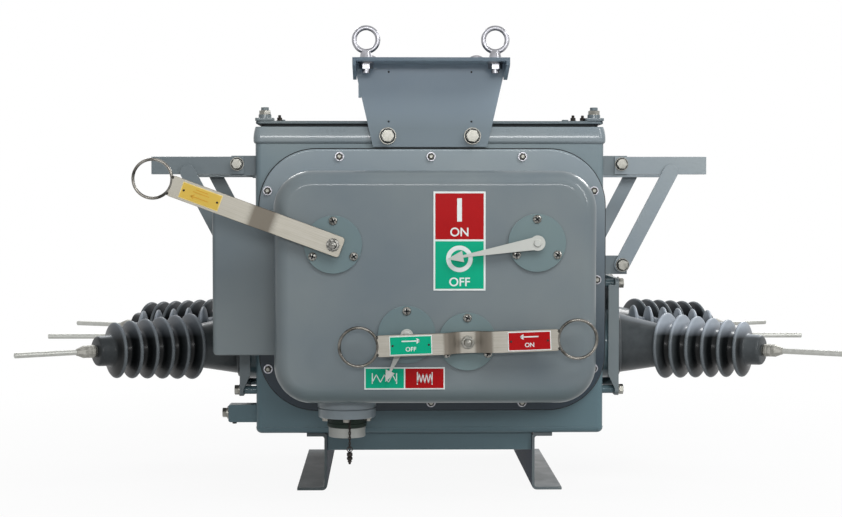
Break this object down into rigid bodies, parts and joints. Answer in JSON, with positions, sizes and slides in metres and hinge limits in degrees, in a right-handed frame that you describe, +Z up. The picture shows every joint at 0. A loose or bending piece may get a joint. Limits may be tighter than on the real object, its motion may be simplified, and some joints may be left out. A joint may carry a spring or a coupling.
{
  "type": "outdoor vacuum circuit breaker",
  "caption": "Steel tank circuit breaker on channel feet, with a manual drive cover in front, side bushings and lifting eyes.",
  "frame": {"origin": "on the ground under the middle of the outline, in the plane of the feet's undersides", "axes": "+X along the tank's width towards the right-hand bushings, +Y from the drive cover towards the rear, +Z up"},
  "size_m": [1.6844, 0.964, 0.9428],
  "materials": {
    "grey_paint": "smooth semi-gloss blue-grey paint",
    "seal_rubber": "matt dark rubber",
    "silicone": "satin dark grey silicone",
    "zinc_plate": "bright zinc plating",
    "tinned_terminal": "tinned copper",
    "stainless_steel": "brushed stainless steel",
    "position_enamel": "red and green sign",
    "charge_enamel": "green and red sign",
    "pointer_metal": "light grey metal"
  },
  "bodies": {
    "housing": {"tank_body": "grey_paint", "top_band": "grey_paint", "lid_gasket": "seal_rubber", "top_lid": "grey_paint", "lid_lugs": "grey_paint", "cover_flange": "grey_paint", "mechanism_cover": "grey_paint", "control_box": "grey_paint", "front_lifting_bracket": "grey_paint", "rear_lifting_bracket": "grey_paint", "front_left_eye_bolt": "zinc_plate", "front_right_eye_bolt": "zinc_plate", "rear_left_eye_bolt": "zinc_plate", "rear_right_eye_bolt": "zinc_plate", "left_foot": "grey_paint", "right_foot": "grey_paint", "front_cross_plate": "grey_paint", "rear_cross_plate": "grey_paint", "left_arms": "grey_paint", "right_arms": "grey_paint", "left_braces": "grey_paint", "right_braces": "grey_paint", "arm_lugs": "grey_paint", "left_bushing_plate": "grey_paint", "right_bushing_plate": "grey_paint", "left_necks": "grey_paint", "right_necks": "grey_paint", "left_front_bushing": "silicone", "left_middle_bushing": "silicone", "left_rear_bushing": "silicone", "right_front_bushing": "silicone", "right_middle_bushing": "silicone", "right_rear_bushing": "silicone", "left_terminals": "tinned_terminal", "right_terminals": "tinned_terminal", "pivot_plates": "grey_paint", "position_sign": "position_enamel", "charge_sign": "charge_enamel", "cable_connector": "grey_paint", "earthing_boss": "grey_paint"},
    "charging_lever": {"charging_lever": "stainless_steel", "charging_lever_shaft": "stainless_steel"},
    "trip_handle": {"trip_handle": "stainless_steel", "trip_handle_shaft": "stainless_steel"},
    "position_pointer": {"position_pointer": "pointer_metal"},
    "charge_pointer": {"charge_pointer": "pointer_metal"}
  },
  "joints": [
    {"name": "charging_lever_turn", "type": "hinge", "parent": "housing", "child": "charging_lever", "pos_m": [-0.189, -0.457, 0.512], "axis": [0, -1, 0], "range_deg": [0, 70], "stiffness_Nm_per_rad": 0.6, "springref_deg": -34.38},
    {"name": "trip_handle_turn", "type": "hinge", "parent": "housing", "child": "trip_handle", "pos_m": [0.065, -0.457, 0.328], "axis": [0, -1, 0], "range_deg": [-20, 20], "stiffness_Nm_per_rad": 0.6},
    {"name": "position_pointer_turn", "type": "hinge", "parent": "housing", "child": "position_pointer", "pos_m": [0.197, -0.457, 0.515], "axis": [0, 1, 0], "range_deg": [0, 28]},
    {"name": "charge_pointer_turn", "type": "hinge", "parent": "housing", "child": "charge_pointer", "pos_m": [-0.05, -0.457, 0.341], "axis": [0, -1, 0], "range_deg": [0, 48]}
  ]
}
